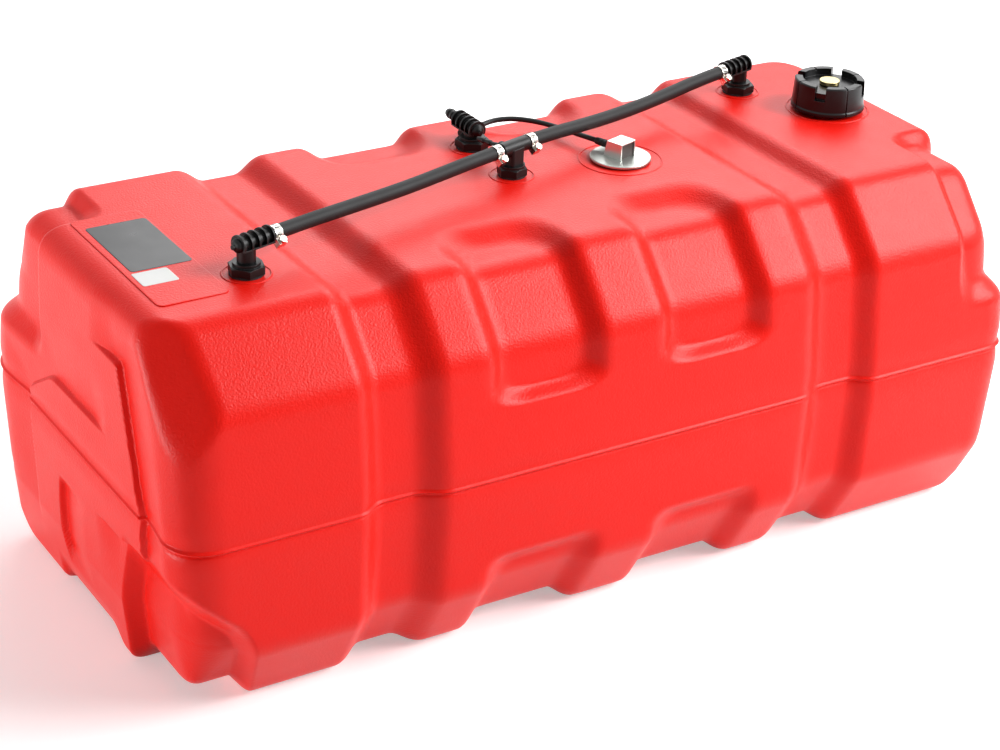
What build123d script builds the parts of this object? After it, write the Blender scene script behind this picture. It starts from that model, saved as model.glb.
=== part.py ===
from build123d import *
import os
from math import atan2, cos, degrees, hypot, radians, sin, sqrt, tan

# Outboard fuel tank, 110 to 120 litre class, blow-moulded in one piece with vent lines on its deck.
# Millimetres. X runs along the tank (the filler is at +X), Z is up, and the origin is at the
# middle of the footprint, on the face that the feet stand on. The tank has 180 degree rotational
# symmetry about Z.

os.makedirs("parts", exist_ok=True)

# ---------------------------------------------------------------- tank shell: driving sizes
tank_length = 922.0
tank_width = 455.0
tank_height = 375.0
shell_wall = 5.0
seam_height = 190.0            # parting line, where the two mould halves meet

bottom_half_width = 178.0      # cross-section, half widths and heights of its corners
chine_half_width = 222.0
chine_height = 75.0
crease_half_width = 214.7
crease_height = 311.0
deck_half_width = 156.5
bottom_radius = 28.0
chine_radius = 46.0
seam_radius = 60.0
crease_radius = 46.0
deck_radius = 30.0

end_bottom_inset = 17.0        # how far the ends lean in at the bottom, the chine and the deck
end_chine_inset = 5.0
end_deck_inset = 5.0
end_bottom_radius = 15.0
end_chine_radius = 40.0
end_seam_radius = 80.0
end_deck_radius = 24.0
corner_radius = 40.0           # upright corners, seen from above

recess_depth = 13.0            # strap channels, pockets, ledges and toes are all this deep
mid_half_length = 200.0        # middle section, between the two strap channels
mid_wall_run = 22.0            # length of the channel wall beside the middle section
channel_outer_edge = tank_length / 2 - 179.0   # where the end sections begin
end_wall_run = 18.0

pocket_centre = 92.0           # two pockets above and two below, on each long side
pocket_width = 122.0
pocket_wall_run = 17.0
upper_pocket_bottom = 258.0
upper_pocket_reach = 92.0      # how near the deck's middle line they come
lower_pocket_top = 105.0
lower_pocket_reach = 96.0
pocket_wall_slope = 12.0       # lean of a pocket's end walls over the recess depth

ledge_start = tank_length / 2 - 71.0           # ledge let into the upper corner beside the filler
ledge_wall_run = 10.0
ledge_reach = 80.0
ledge_bottom = 240.0
ledge_corner_radius = 40.0     # where the ledge's inner wall turns into its foot
toe_start = tank_length / 2 - 83.0             # toe recess let into the opposite lower corner
toe_wall_run = 6.0
toe_low = 62.0                 # its sloping top meets its inner wall at this height
toe_slope = 1.08               # rise of that top towards the end of the tank
toe_reach = 78.0               # how near the middle line it comes at the bottom
toe_lean = 0.154               # lean of its wall away from the middle line, upwards

facet_bottom = 278.0           # flat cut across the other upper corner, which widens upwards
facet_depth = 23.3             # cut off the square corner of the plan, at facet_bottom
facet_distance = (tank_length + tank_width) / sqrt(8) - facet_depth
facet_lean = 0.57

# ---------------------------------------------------------------- deck fittings: driving sizes
vent_x = tank_length / 2 - 131.0
vent_y = 90.0
tee_x = -5.0
pickup_x = -3.0
pickup_y = 77.0
sender_x = 112.0
sender_y = -14.0
filler_x = tank_length / 2 - 75.0
filler_y = 9.0

bolt_clearance = 0.1           # radial gap between parts that are screwed or pushed together
turn_clearance = 0.06          # radial gap between parts that turn on each other
gasket_thickness = 1.5
boss_depth = 8.0               # moulded boss under the deck at each hole
boss_wall = 6.0

adapter_hex = 34.4             # across corners, vent and pickup fittings
adapter_hex_height = 7.7
adapter_collar_diameter = 25.0
adapter_collar_height = 2.8
adapter_spigot_diameter = 18.0
adapter_spigot_reach = 20.0    # below the deck face
adapter_bore = 7.0
tee_hex = 30.0
stub_diameter = 12.0           # elbow stub inside the adapter
stub_depth = 9.0

vent_axis_height = 29.0        # above the deck
pickup_axis_height = 20.5
barrel_diameter = 13.0
fin_diameter = 19.0
fin_thickness = 1.6
fin_pitch = 8.4
fin_count = 5
barrel_back = 13.0             # from the upright axis to the domed end
neck_diameter = 17.0
web_drop = 4.0                 # flat web along the barrel, below its axis; the fins stop at it
web_thickness = 1.4
elbow_bore = 5.0

hose_outside = 13.4
hose_inside = 8.6
vent_barb_length = 18.0
vent_barb_diameter = 8.4
pickup_barb_length = 21.0
pickup_barb_diameter = 10.6
barb_step = 0.9
barb_land = 1.6
barb_teeth = 3

tee_half_run = 17.0
tee_body_diameter = 15.0
tee_column_width = 17.0
outlet_axis_height = 24.0
outlet_barb_diameter = 6.0
outlet_barb_length = 30.0
outlet_disc_diameter = 12.0

band_width = 8.0               # hose clamp
band_thickness = 0.8
clamp_screw_diameter = 5.0
clamp_screw_length = 11.0
clamp_head_diameter = 7.2
clamp_head_height = 2.6
clamp_turn = 130.0             # where the screw sits round the hose, from the top towards the front

neck_outside = 58.0            # filler neck and its cap
neck_bore = 46.0
neck_height = 20.0
neck_root = 6.0                # how far the neck's tube runs below the deck
cap_diameter = 76.0
cap_top_diameter = 72.0
cap_gap = 3.5                  # between the deck and the skirt
cap_height = 30.0
cap_web = 4.0                  # disc that closes the cap
cap_edge = 1.2
cap_crown_wall = 8.0
cap_slot_width = 11.0
cap_slot_count = 4
cap_slot_turn = 37.0
cap_slot_floor = 19.5          # above the deck
cap_groove_width = 1.6
cap_groove_depth = 2.2
cap_gasket_thickness = 2.5
screw_head_diameter = 20.5
screw_head_height = 3.6
screw_shank_diameter = 8.0
screw_shank_length = 9.0
washer_thickness = 1.0
washer_diameter = 15.0

sender_flange_diameter = 60.2
sender_flange_thickness = 2.6
sender_hole = 40.0
hood_width = 22.0
hood_depth = 18.0
hood_lean = 3.4                # how far the hood's back wall runs out towards its foot
hood_height = 16.0
hood_sheet = 1.2
hood_turn = 18.0               # degrees, from the X axis
insert_setback = 1.2
boot_diameter = 8.4
boot_length = 22.0
lead_diameter = 5.2
plug_diameter = 7.6
plug_length = 15.0
stem_diameter = 8.0
gauge_width = 22.0
gauge_depth = 12.0
gauge_height = 44.0
float_pivot_height = 190.0     # above the bottom
float_pin_diameter = 4.0
float_arm_length = 160.0
float_arm_diameter = 3.2
float_diameter = 26.0
float_length = 44.0
float_droop = 60.0             # degrees below level when the tank is empty

dip_tube_diameter = 10.0
dip_tube_bore = 7.0
strainer_diameter = 18.0
strainer_height = 26.0
strainer_floor_gap = 4.0


def inset_outline(points, inset):
    """Corners of a counter-clockwise convex outline after each side moves in by inset."""
    moved = []
    count = len(points)
    for index in range(count):
        x0, y0 = points[index - 1]
        x1, y1 = points[index]
        x2, y2 = points[(index + 1) % count]
        ax, ay = x1 - x0, y1 - y0
        bx, by = x2 - x1, y2 - y1
        a_length, b_length = hypot(ax, ay), hypot(bx, by)
        px, py = x0 - ay / a_length * inset, y0 + ax / a_length * inset
        qx, qy = x1 - by / b_length * inset, y1 + bx / b_length * inset
        along = ((qx - px) * by - (qy - py) * bx) / (ax * by - ay * bx)
        moved.append((px + ax * along, py + ay * along))
    return moved


def mirrored_outline(half):
    """Closed counter-clockwise outline from its right half, listed from the bottom up."""
    return half + [(-across, up) for across, up in reversed(half)]


def rounded_face(points, radii, inset):
    """Face in the XY plane with its corners rounded, after the outline moves in by inset."""
    rounded = [max(radius - inset, shell_wall) for radius in radii]
    outline = FilletPolyline(*inset_outline(points, inset), radius=rounded, close=True)
    return make_face(outline)


def section_face(x, inset):
    """Cross-section of the tank at x."""
    half = [
        (bottom_half_width, 0),
        (chine_half_width, chine_height),
        (tank_width / 2, seam_height),
        (crease_half_width, crease_height),
        (deck_half_width, tank_height),
    ]
    radii = [bottom_radius, chine_radius, seam_radius, crease_radius, deck_radius]
    place = Plane(origin=(x, 0, 0), x_dir=(0, 1, 0), z_dir=(1, 0, 0))
    return place * rounded_face(mirrored_outline(half), radii + radii[::-1], inset)


def through(face, x, z):
    """Prism through the whole width from a face drawn in side view, moved to x, z."""
    return extrude(Plane(origin=(x, 0, z), x_dir=(1, 0, 0), z_dir=(0, -1, 0)) * face, tank_width, both=True)


def side_prism(inset):
    """The tank's outline seen from the side, drawn through its whole width."""
    half = [
        (tank_length / 2 - end_bottom_inset, 0),
        (tank_length / 2 - end_chine_inset, chine_height),
        (tank_length / 2, seam_height),
        (tank_length / 2 - end_deck_inset, tank_height),
    ]
    radii = [end_bottom_radius, end_chine_radius, end_seam_radius, end_deck_radius]
    face = rounded_face(mirrored_outline(half), radii + radii[::-1], inset)
    return through(face, 0, 0)


def plan_prism(inset):
    """The tank's outline seen from above, drawn through its whole height, less the two corner facets."""
    half_x, half_y = tank_length / 2, tank_width / 2
    corners = [(half_x, -half_y), (half_x, half_y), (-half_x, half_y), (-half_x, -half_y)]
    prism = extrude(rounded_face(corners, [corner_radius] * 4, inset), tank_height * 1.2)
    for side in (1, -1):
        outward = Vector(-side, -side, sqrt(2) * facet_lean).normalized()
        distance = facet_distance - inset * sqrt(1 + facet_lean**2)
        foot = (-side * distance / sqrt(2), -side * distance / sqrt(2), facet_bottom)
        cut = extrude(Plane(origin=foot, z_dir=outward) * Rectangle(tank_width * 2, tank_width * 2), tank_width)
        prism -= cut
    return prism


def block(x0, x1, inset):
    """Length of the tank's cross-section from x0 to x1."""
    return extrude(section_face(x0, inset), x1 - x0)


def sloped_wall(x, run, inset):
    """Wall that falls by the recess depth from x to x + run."""
    return loft([section_face(x, inset), section_face(x + run, inset + recess_depth)], ruled=True)


def slab(x0, x1, outline, side):
    """Prism from x0 to x1 with an outline given as distance from the middle line and height."""
    points = [(side * across, up) for across, up in outline]
    face = make_face(Polyline(*points, close=True))
    return extrude(Plane(origin=(x0, 0, 0), x_dir=(0, 1, 0), z_dir=(1, 0, 0)) * face, x1 - x0)


def upper_outline(bottom, reach, inset):
    """Side view of a recess that runs from the deck over the shoulder and ends at bottom."""
    far = tank_width
    foot = bottom - inset
    back = reach - inset
    return [
        (back - pocket_wall_slope, tank_height + recess_depth),
        (back + pocket_wall_slope, tank_height - recess_depth),
        (back + 2 * recess_depth + pocket_wall_slope, crease_height - recess_depth),
        (chine_half_width - recess_depth * 2, foot + 2 * pocket_wall_slope),
        (far, foot - (far - chine_half_width) * pocket_wall_slope / recess_depth),
        (far, tank_height + recess_depth),
    ]


def lower_outline(top, reach, inset):
    """Side view of a recess that starts on the side at top and runs underneath."""
    far = tank_width
    head = top + inset
    back = reach - inset
    return [
        (back - pocket_wall_slope, -recess_depth),
        (back + pocket_wall_slope, recess_depth),
        (back + 2 * recess_depth + pocket_wall_slope, chine_height / 2),
        (chine_half_width - recess_depth * 2, head - 2 * pocket_wall_slope),
        (far, head + (far - chine_half_width) * pocket_wall_slope / recess_depth),
        (far, -recess_depth),
    ]


def pocket_cutters(inset):
    """What the upper and lower pockets take out of the middle section."""
    cutters = []
    for centre in (-pocket_centre, pocket_centre):
        x0 = centre - pocket_width / 2 - inset
        x1 = centre + pocket_width / 2 + inset
        ribs = sloped_wall(x0, pocket_wall_run, inset) + sloped_wall(x1, -pocket_wall_run, inset)
        for side in (1, -1):
            upper = slab(x0, x1, upper_outline(upper_pocket_bottom, upper_pocket_reach, inset), side)
            lower = slab(x0, x1, lower_outline(lower_pocket_top, lower_pocket_reach, inset), side)
            cutters += [upper - ribs, lower - ribs]
    return cutters


def ledge_cutter(side, inset):
    """What the ledge on one upper corner takes out; its lower inner corner is well rounded."""
    far = tank_length
    inner = ledge_start - inset
    block_form = slab(side * inner, side * far, upper_outline(ledge_bottom, ledge_reach, inset), -side)
    block_form -= sloped_wall(side * inner, side * ledge_wall_run, inset)
    window_length = far - inner + ledge_wall_run
    window_height = tank_height
    window = RectangleRounded(window_length, window_height, ledge_corner_radius + inset)
    centre_x = inner - toe_wall_run + window_length / 2
    centre_z = ledge_bottom - inset + window_height / 2
    return block_form & through(window, side * centre_x, centre_z)


def toe_cutter(side, inset):
    """What the toe recess on one lower corner takes out; its top slopes up towards the end."""
    far = tank_length
    inner = toe_start - inset
    top = toe_low - inset * toe_slope + inset * sqrt(1 + toe_slope**2)
    far_top = top + (far - inner) * toe_slope
    reach = toe_reach - inset
    outline = [
        (reach - toe_lean * recess_depth, -recess_depth),
        (reach + toe_lean * tank_height, tank_height),
        (tank_width, tank_height),
        (tank_width, -recess_depth),
    ]
    block_form = slab(side * inner, side * far, outline, side)
    block_form -= sloped_wall(side * inner, side * toe_wall_run, inset)
    points = [(inner - toe_wall_run, -recess_depth), (far, -recess_depth), (far, far_top)]
    points.append((inner - toe_wall_run, top - toe_wall_run * toe_slope))
    face = make_face(Polyline(*[(side * along, up) for along, up in points], close=True))
    return block_form & through(face, 0, 0)


def corner_cutters(inset):
    """What the two upper ledges and the two toe recesses take out of the end sections."""
    cutters = []
    for side in (1, -1):
        cutters.append(ledge_cutter(side, inset))
        cutters.append(toe_cutter(side, inset))
    return cutters


def tank_form(inset):
    """The tank's outer form, moved in by inset all over."""
    far = tank_length / 2 + recess_depth
    pull = inset * (hypot(mid_wall_run, recess_depth) - mid_wall_run) / recess_depth
    mid = mid_half_length - pull
    middle = block(-mid, mid, inset)
    middle += sloped_wall(mid, mid_wall_run, inset)
    middle += sloped_wall(-mid, -mid_wall_run, inset)
    for cutter in pocket_cutters(inset):
        middle -= cutter
    edge = channel_outer_edge + inset * (hypot(end_wall_run, recess_depth) - end_wall_run) / recess_depth
    ends = block(edge, far, inset) + sloped_wall(edge, -end_wall_run, inset)
    ends += block(-far, -edge, inset) + sloped_wall(-edge, end_wall_run, inset)
    ends = ends & side_prism(inset) & plan_prism(inset)
    for cutter in corner_cutters(inset):
        ends -= cutter
    core_inset = inset + recess_depth
    core = block(-far, far, core_inset) & side_prism(core_inset) & plan_prism(core_inset)
    return core + middle + ends


def at_deck(x, y, turn=0.0):
    """Frame on the deck face at x, y, turned about Z."""
    return Pos(x, y, tank_height) * Rot(0, 0, turn)


def tube(outside, inside, low, high):
    """Upright tube between two heights."""
    ring = Circle(outside / 2) - Circle(inside / 2)
    return extrude(Pos(0, 0, low) * ring, high - low)


def rod(diameter, low, high):
    """Upright rod between two heights."""
    return extrude(Pos(0, 0, low) * Circle(diameter / 2), high - low)


def along_x(part):
    """Turns an upright part so that its axis points along +X."""
    return Rot(0, 90, 0) * part


def turned(profile):
    """Solid of revolution about Z from a closed list of radius and height."""
    face = make_face(Polyline(*[(radius, 0, height) for radius, height in profile], close=True))
    return revolve(face, Axis.Z)


def barb(diameter, bore, length, teeth):
    """Hose tail along +X from the origin: teeth with a steep back, a short land and a long slope."""
    pitch = length / (teeth + 0.5)
    core = diameter / 2 - barb_step
    profile = [(bore / 2, 0), (core, 0)]
    for tooth in range(teeth):
        back = (tooth + 0.4) * pitch
        profile += [(core, back), (diameter / 2, back + barb_step / 2)]
        profile += [(diameter / 2, back + barb_step / 2 + barb_land), (core, back + 0.9 * pitch)]
    profile += [(core - barb_step / 2, length), (bore / 2, length)]
    return along_x(turned(profile))


def save(part, node):
    """Writes a node's solids to its own file."""
    export_step(part, f"parts/{node}.step")


# ---------------------------------------------------------------- tank shell
spigot_hole = adapter_spigot_diameter + 2 * bolt_clearance
tank_shell = tank_form(0) - tank_form(shell_wall)
fitting_places = [(-vent_x, -vent_y), (vent_x, vent_y), (tee_x, tee_x * vent_y / vent_x), (pickup_x, pickup_y)]
for x, y in fitting_places:
    tank_shell += at_deck(x, y) * rod(spigot_hole + 2 * boss_wall, -shell_wall - boss_depth, -shell_wall / 2)
for x, y in fitting_places:
    tank_shell -= at_deck(x, y) * rod(spigot_hole, -shell_wall - boss_depth - 1, 1)
tank_shell += at_deck(sender_x, sender_y) * rod(
    sender_hole + 2 * boss_wall, -shell_wall - boss_depth, -shell_wall / 2
)
tank_shell -= at_deck(sender_x, sender_y) * rod(sender_hole, -shell_wall - boss_depth - 1, 1)
tank_shell += at_deck(filler_x, filler_y) * rod(neck_outside, -shell_wall - neck_root, neck_height)
tank_shell -= at_deck(filler_x, filler_y) * rod(neck_bore, -shell_wall - neck_root - 1, neck_height + 1)
save(tank_shell, "tank_shell")


# ---------------------------------------------------------------- filler cap, liner and vent screw
neck_top = neck_height
liner_top = neck_top + cap_gasket_thickness
web_top = liner_top + cap_web
cap_top = cap_gap + cap_height
thread_bore = neck_outside + 2 * turn_clearance
skirt_radius = cap_diameter / 2
crown_radius = cap_top_diameter / 2

cap_place = at_deck(filler_x, filler_y)
cap_body = turned(
    [
        (0, liner_top),
        (thread_bore / 2, liner_top),
        (thread_bore / 2, cap_gap),
        (skirt_radius, cap_gap),
        (skirt_radius, cap_gap + 3),
        (skirt_radius - 0.8, cap_gap + 4.5),
        (crown_radius, cap_top - cap_edge),
        (crown_radius - cap_edge, cap_top),
        (crown_radius - cap_crown_wall, cap_top),
        (crown_radius - cap_crown_wall, web_top),
        (0, web_top),
    ]
)
for index in range(cap_slot_count):
    angle = cap_slot_turn + index * 360 / cap_slot_count
    opening = Pos(skirt_radius, 0, web_top + cap_height / 2) * Box(cap_diameter / 2, cap_slot_width, cap_height)
    notch_start = thread_bore / 2 + 3
    notch = Pos(notch_start + cap_diameter / 4, 0, cap_slot_floor + cap_height / 2) * Box(
        cap_diameter / 2, cap_slot_width, cap_height
    )
    cap_body -= Rot(0, 0, angle) * (opening + notch)
    side_groove = Pos(skirt_radius, 0, cap_top / 2) * Box(2 * cap_groove_depth, cap_groove_width, cap_top * 2)
    top_groove = Pos(skirt_radius, 0, cap_top) * Box(cap_diameter / 2, cap_groove_width, 2 * cap_groove_depth)
    cap_body -= Rot(0, 0, angle + 180 / cap_slot_count) * (side_groove + top_groove)
cap_body -= rod(screw_shank_diameter + 2 * turn_clearance, 0, cap_top)
save(cap_place * cap_body, "filler_cap")

liner = tube(neck_outside - 1, screw_shank_diameter + 6, neck_top, liner_top)
save(cap_place * liner, "cap_liner")

washer_low = web_top
head_low = washer_low + washer_thickness
washer = tube(washer_diameter, screw_shank_diameter + 2 * bolt_clearance, washer_low, head_low)
save(cap_place * washer, "vent_screw_washer")
vent_screw = rod(screw_head_diameter, head_low, head_low + screw_head_height)
vent_screw += rod(screw_shank_diameter, head_low - screw_shank_length, head_low)
save(cap_place * vent_screw, "vent_screw")


# ---------------------------------------------------------------- screwed adapters in the deck
def adapter(across_corners, bore, stub):
    """Hexagon fitting screwed into the deck, with a socket for the elbow's stub."""
    hex_low = gasket_thickness
    hex_high = hex_low + adapter_hex_height
    collar_high = hex_high + adapter_collar_height
    body = extrude(Pos(0, 0, hex_low) * RegularPolygon(across_corners / 2, 6), adapter_hex_height)
    body = body & turned(
        [
            (0, hex_low),
            (across_corners / 2 + 1, hex_low),
            (across_corners / 2 + 1, hex_high - 1.5),
            (across_corners / 2 - 2, hex_high),
            (0, hex_high),
        ]
    )
    body += rod(adapter_collar_diameter, hex_high, collar_high)
    body += rod(adapter_spigot_diameter, -adapter_spigot_reach, hex_low)
    body -= rod(bore, -adapter_spigot_reach - 1, collar_high + 1)
    body -= rod(stub + 2 * turn_clearance, collar_high - stub_depth, collar_high + 1)
    return body


def adapter_gasket(across_corners):
    """Flat ring between the deck and the hexagon."""
    return tube(across_corners - 3, spigot_hole + 0.2, 0, gasket_thickness)


def elbow(axis_height, tail):
    """Finned right-angle elbow: a stub in the adapter, an upright neck and a barrel along +X."""
    seat = gasket_thickness + adapter_hex_height + adapter_collar_height
    front = fin_pitch * (fin_count - 2) + fin_thickness / 2
    core = turned(
        [
            (0, -barrel_back - 3),
            (2.2, -barrel_back - 3),
            (2.2, -barrel_back - 1),
            (barrel_diameter / 2 - 2, -barrel_back),
            (barrel_diameter / 2, -barrel_back + 2),
            (barrel_diameter / 2, front),
            (0, front),
        ]
    )
    barrel = along_x(core)
    web_start = -fin_pitch - fin_thickness / 2
    web_centre = (web_start + front) / 2
    fins = Pos(web_centre, 0, -web_drop) * Box(front - web_start, fin_diameter - 1, web_thickness)
    for index in range(fin_count):
        start = fin_pitch * (index - 1) - fin_thickness / 2
        fin = along_x(rod(fin_diameter, start, start + fin_thickness))
        fins += fin - Pos(start, 0, -fin_diameter - web_drop) * Box(fin_pitch, fin_diameter * 2, fin_diameter * 2)
    body = rod(stub_diameter, seat - stub_depth + 0.5, seat)
    body += rod(neck_diameter, seat, axis_height - web_drop)
    body += rod(barrel_diameter, seat, axis_height)
    body += Pos(0, 0, axis_height) * (barrel + fins)
    body += Pos(front, 0, axis_height) * tail
    body -= rod(elbow_bore, seat - stub_depth, axis_height)
    body -= Pos(0, 0, axis_height) * along_x(rod(elbow_bore, -elbow_bore / 2, front + 1))
    return body, front


line_turn = degrees(atan2(vent_y, vent_x))
vent_tail = barb(vent_barb_diameter, elbow_bore, vent_barb_length, barb_teeth)
vent_elbow, elbow_front = elbow(vent_axis_height, vent_tail)
vent_ends = [("left", -vent_x, -vent_y, line_turn), ("right", vent_x, vent_y, line_turn + 180)]
for name, x, y, turn in vent_ends:
    place = at_deck(x, y, turn)
    save(place * adapter(adapter_hex, adapter_bore, stub_diameter), f"{name}_vent_adapter")
    save(place * adapter_gasket(adapter_hex), f"{name}_vent_gasket")
    save(place * vent_elbow, f"{name}_vent_elbow")


# ---------------------------------------------------------------- vent tee
tee_y = tee_x * vent_y / vent_x
tee_place = at_deck(tee_x, tee_y, line_turn)
tee_seat = gasket_thickness + adapter_hex_height + adapter_collar_height
save(tee_place * adapter(tee_hex, adapter_bore, stub_diameter), "tee_adapter")
save(tee_place * adapter_gasket(tee_hex), "tee_gasket")
tee = rod(stub_diameter, tee_seat - stub_depth + 0.5, tee_seat)
column = extrude(
    Pos(0, 0, tee_seat) * RectangleRounded(tee_column_width, tee_column_width, 3), vent_axis_height - tee_seat
)
tee += column
tee += Pos(0, 0, vent_axis_height) * along_x(rod(tee_body_diameter, -tee_half_run, tee_half_run))
for flip in (0, 180):
    tee += Rot(0, 0, flip) * Pos(tee_half_run, 0, vent_axis_height) * vent_tail
outlet = along_x(rod(outlet_barb_diameter + 2, 0, tee_column_width / 2 + 6))
outlet += Pos(tee_column_width / 2 + 6, 0, 0) * along_x(rod(outlet_disc_diameter, 0, 2))
outlet += Pos(tee_column_width / 2 + 8, 0, 0) * barb(
    outlet_barb_diameter, outlet_barb_diameter / 2, outlet_barb_length, barb_teeth
)
tee += Rot(0, 0, 90) * Pos(0, 0, outlet_axis_height) * outlet
tee -= rod(elbow_bore, tee_seat - stub_depth, vent_axis_height)
tee -= Pos(0, 0, vent_axis_height) * along_x(rod(elbow_bore, -tee_half_run - 1, tee_half_run + 1))
tee -= Rot(0, 0, 90) * Pos(0, 0, outlet_axis_height) * along_x(
    rod(outlet_barb_diameter / 2, 0, tee_column_width / 2 + 9)
)
save(tee_place * tee, "vent_tee")


# ---------------------------------------------------------------- fuel pickup
pickup_place = at_deck(pickup_x, pickup_y, 90)
pickup_tail = barb(pickup_barb_diameter, elbow_bore, pickup_barb_length, barb_teeth)
pickup_elbow, _ = elbow(pickup_axis_height, pickup_tail)
tube_socket = dip_tube_diameter + 2 * bolt_clearance
pickup_adapter = adapter(adapter_hex, dip_tube_bore, stub_diameter)
pickup_adapter -= rod(tube_socket, -adapter_spigot_reach - 1, -adapter_spigot_reach + 10)
save(pickup_place * pickup_adapter, "pickup_adapter")
save(pickup_place * adapter_gasket(adapter_hex), "pickup_gasket")
save(pickup_place * pickup_elbow, "pickup_elbow")
floor_level = shell_wall + strainer_floor_gap - tank_height
dip_tube = tube(dip_tube_diameter, dip_tube_bore, floor_level + 8, -adapter_spigot_reach + 10)
save(pickup_place * dip_tube, "dip_tube")
strainer = turned(
    [
        (dip_tube_diameter / 2 + bolt_clearance, floor_level + 7),
        (dip_tube_diameter / 2 + bolt_clearance, floor_level + strainer_height),
        (dip_tube_diameter / 2 + 2, floor_level + strainer_height),
        (strainer_diameter / 2, floor_level + strainer_height - 6),
        (strainer_diameter / 2, floor_level),
        (0, floor_level),
        (0, floor_level + 7),
    ]
)
save(pickup_place * strainer, "pickup_strainer")


# ---------------------------------------------------------------- vent hoses and their clamps
def hose_solid(points, outside, inside):
    """Tube along straight runs joined by tangent arcs, each arc as large as its runs allow."""
    vectors = [Vector(*point) for point in points]
    radii = []
    for before, corner, after in zip(vectors, vectors[1:], vectors[2:]):
        turn = radians((corner - before).get_angle(after - corner))
        run = min((corner - before).length, (after - corner).length)
        radii.append(0.45 * run / tan(turn / 2))
    print("route radii", [round(radius) for radius in radii])
    path = FilletPolyline(*points, radius=radii)
    ring = Circle(outside / 2)
    if inside > 0:
        ring -= Circle(inside / 2)
    start = Plane(origin=path @ 0, z_dir=path % 0)
    solid = sweep(start * ring, path=path)
    print("swept volume over section times length", solid.volume / (ring.area * path.length))
    return solid


hose_height = tank_height + vent_axis_height
line_x, line_y = cos(radians(line_turn)), sin(radians(line_turn))


def on_line(distance, drop=0.0, aside=0.0):
    """Point on the line through both vent elbows, at a distance from the Z axis."""
    return (
        line_x * distance - line_y * aside,
        line_y * distance + line_x * aside,
        hose_height - drop,
    )


vent_reach = hypot(vent_x, vent_y)
tee_reach = hypot(tee_x, tee_y)
left_hose_points = [
    on_line(-vent_reach + elbow_front),
    on_line(-vent_reach + elbow_front + 45),
    on_line(-215, 1.6, 0.6),
    on_line(-150, 2.2, -0.4),
    on_line(-90, 1.2, 0.3),
    on_line(-tee_reach - tee_half_run - 34),
    on_line(-tee_reach - tee_half_run),
]
right_hose_points = [
    on_line(-tee_reach + tee_half_run),
    on_line(-tee_reach + tee_half_run + 32),
    on_line(95, 3.2, -0.5),
    on_line(150, 4.8, -1.0),
    on_line(210, 4.4, 0.2),
    on_line(vent_reach - elbow_front - 42),
    on_line(vent_reach - elbow_front),
]
save(hose_solid(left_hose_points, hose_outside, hose_inside), "left_vent_hose")
save(hose_solid(right_hose_points, hose_outside, hose_inside), "right_vent_hose")

clamp_offset = band_width / 2 + 2.5
clamp_places = [
    ("left_elbow", -vent_reach + elbow_front + clamp_offset),
    ("left_tee", -tee_reach - tee_half_run - clamp_offset),
    ("right_tee", -tee_reach + tee_half_run + clamp_offset),
    ("right_elbow", vent_reach - elbow_front - clamp_offset),
]
band_inside = hose_outside + 0.1
band_outside = band_inside + 2 * band_thickness
screw_lift = band_outside / 2 + clamp_screw_diameter / 2 + 0.3
clamp_screws = []
for name, distance in clamp_places:
    place = Pos(*on_line(distance)) * Rot(0, 0, line_turn) * Rot(clamp_turn, 0, 0)
    band = along_x(tube(band_outside, band_inside, -band_width / 2, band_width / 2))
    housing = Pos(0, 0, screw_lift - 0.4) * Box(band_width + 1, 7, clamp_screw_diameter + 1.6)
    housing -= Pos(0, 0, screw_lift) * (Rot(90, 0, 0) * rod(clamp_screw_diameter + 0.2, -8, 8))
    housing -= along_x(rod(band_inside, -band_width, band_width))
    save(place * (band + housing), f"{name}_clamp")
    head_start = clamp_screw_length / 2 - 1
    worm = rod(clamp_screw_diameter, -clamp_screw_length / 2, head_start)
    head = rod(clamp_head_diameter, head_start, head_start + clamp_head_height)
    head -= Pos(0, 0, head_start + clamp_head_height) * Box(clamp_head_diameter * 2, 1.2, 2)
    clamp_screws.append(place * Pos(0, 0, screw_lift) * (Rot(-90, 0, 0) * (worm + head)))
save(Compound(children=clamp_screws), "clamp_screws")


# ---------------------------------------------------------------- level sender
sender_place = at_deck(sender_x, sender_y, hood_turn)
flange_low = gasket_thickness
flange_high = flange_low + sender_flange_thickness
sender_gasket = tube(sender_flange_diameter - 2, sender_hole + 2, 0, flange_low)
save(sender_place * sender_gasket, "sender_gasket")
flange = rod(sender_flange_diameter, flange_low, flange_high)
flange = chamfer(flange.edges().sort_by(Axis.Z)[-1], 0.7)
flange += rod(sender_hole - 2, -shell_wall, flange_low)
flange -= rod(stem_diameter + 2 * bolt_clearance, -shell_wall - 1, flange_low)
save(sender_place * flange, "sender_flange")


def hood_block(shrink):
    """Solid of the hood's outline: square in front, with a back wall that leans outwards."""
    front = -hood_depth / 2
    back = hood_depth / 2 - shrink
    side = hood_width / 2 - shrink
    outline = [
        (front, flange_high),
        (back + hood_lean, flange_high),
        (back, flange_high + hood_height - shrink),
        (front, flange_high + hood_height - shrink),
    ]
    face = make_face(Polyline(*[(0, across, up) for across, up in outline], close=True))
    return extrude(face, side, both=True, dir=(1, 0, 0))


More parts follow.
